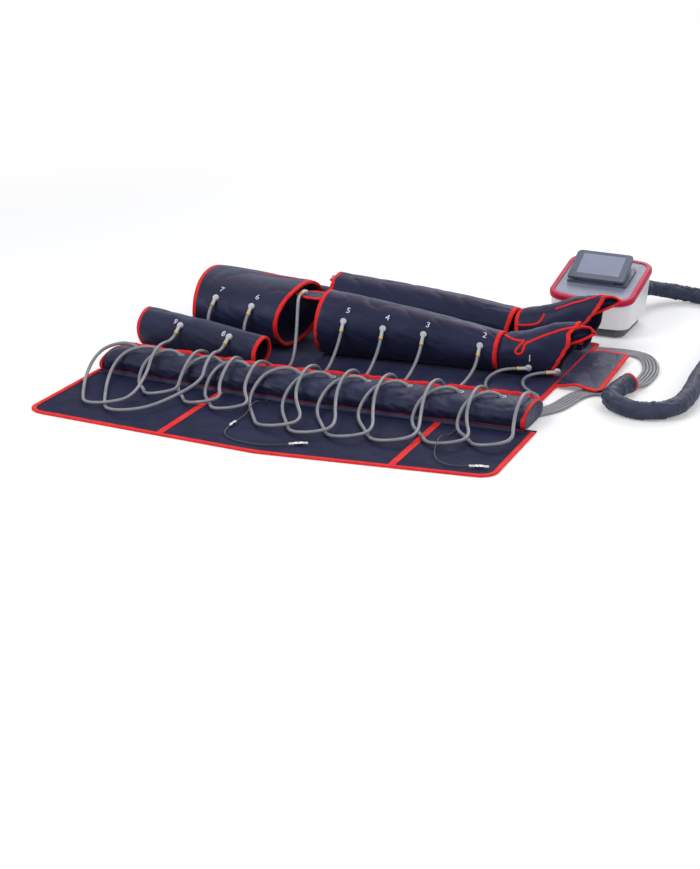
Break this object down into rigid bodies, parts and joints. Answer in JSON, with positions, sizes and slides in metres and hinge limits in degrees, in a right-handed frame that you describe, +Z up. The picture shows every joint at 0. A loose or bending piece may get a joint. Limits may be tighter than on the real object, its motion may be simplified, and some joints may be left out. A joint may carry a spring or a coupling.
{
  "type": "compression therapy pump",
  "caption": "Air pump console with tilting display and a hose loom, joined to a laid-out set of padded leg, foot, waist and arm sleeves with air hoses.",
  "frame": {"origin": "centre of the bounding box of everything but the cords, at the level of the table", "axes": "+Z up, +X along the sleeves from waist to feet, -Y to the side that the hoses lie on"},
  "size_m": [1.711, 2.0849, 0.2355],
  "materials": {
    "white_plastic": "satin white",
    "red_plastic": "satin red",
    "grey_plastic": "fine matt blue grey",
    "dark_grey_plastic": "fine matt dark blue grey",
    "light_grey_plastic": "matt light grey",
    "dark_plastic": "matt dark grey",
    "black_plastic": "matt black",
    "black_rubber": "matt",
    "screen_glass": "smooth, faint shine",
    "steel": "plated",
    "cast_aluminium": "cast",
    "board_green": "solder mask",
    "navy_nylon": "coated nylon, slight sheen",
    "sleeve_cloth": "woven, slight sheen",
    "grey_tube": "soft satin",
    "elbow_grey": "satin",
    "ring_yellow": "satin",
    "eyelet_metal": "plated",
    "lead_grey": "satin",
    "lead_metal": "plated"
  },
  "bodies": {
    "set": {"air_elbows": "elbow_grey", "base_mat": "navy_nylon", "base_plinth": "dark_plastic", "case_screws": "steel", "chassis_plate": "steel", "compressor_body": "cast_aluminium", "compressor_head": "black_plastic", "compressor_mounts": "black_rubber", "control_board": "board_green", "display_cradle": "dark_grey_plastic", "display_gusset": "light_grey_plastic", "display_hinge_pin": "steel", "elbow_rings": "ring_yellow", "end_pad": "navy_nylon", "eyelets": "eyelet_metal", "fan_frame": "black_plastic", "fan_guard": "steel", "far_arm_wrap": "navy_nylon", "far_foot_wrap": "navy_nylon", "far_leg_wrap": "navy_nylon", "hip_pads": "navy_nylon", "hose_1": "grey_tube", "hose_2": "grey_tube", "hose_3": "grey_tube", "hose_4": "grey_tube", "hose_5": "grey_tube", "hose_6": "grey_tube", "hose_7": "grey_tube", "hose_8": "grey_tube", "hose_9": "grey_tube", "hose_foot": "grey_tube", "hose_hip": "grey_tube", "hose_loom": "sleeve_cloth", "hose_socket": "black_plastic", "housing_shell": "white_plastic", "lead_left": "lead_grey", "lead_plugs": "lead_metal", "lead_right": "lead_grey", "loom_plug": "black_plastic", "mains_inlet": "black_plastic", "near_arm_wrap": "navy_nylon", "near_channel": "navy_nylon", "near_foot_wrap": "navy_nylon", "near_leg_wrap": "navy_nylon", "power_supply": "cast_aluminium", "rear_panel": "dark_plastic", "ribbon_far": "grey_tube", "ribbon_near": "grey_tube", "rubber_feet": "black_rubber", "skirt_panel": "navy_nylon", "top_panel": "grey_plastic", "trim_ring": "red_plastic", "valve_coils": "black_plastic", "valve_manifold": "light_grey_plastic", "waist_wrap": "navy_nylon"},
    "display": {"display_frame": "dark_grey_plastic", "display_glass": "screen_glass", "display_back": "dark_grey_plastic"},
    "power_switch": {"power_rocker": "black_plastic"},
    "fan": {"fan_rotor": "black_plastic"}
  },
  "joints": [
    {"name": "display_tilt", "type": "hinge", "parent": "set", "child": "display", "pos_m": [0.50281, 0.68151, 0.16378], "axis": [1, 0, 0], "range_deg": [0, 30]},
    {"name": "power_switch_rock", "type": "hinge", "parent": "set", "child": "power_switch", "pos_m": [0.51881, 0.86096, 0.1005], "axis": [1, 0, 0], "range_deg": [-14, 0]},
    {"name": "fan_spin", "type": "hinge", "parent": "set", "child": "fan", "pos_m": [0.45681, 0.85096, 0.088], "axis": [0, 1, 0], "continuous": true}
  ]
}
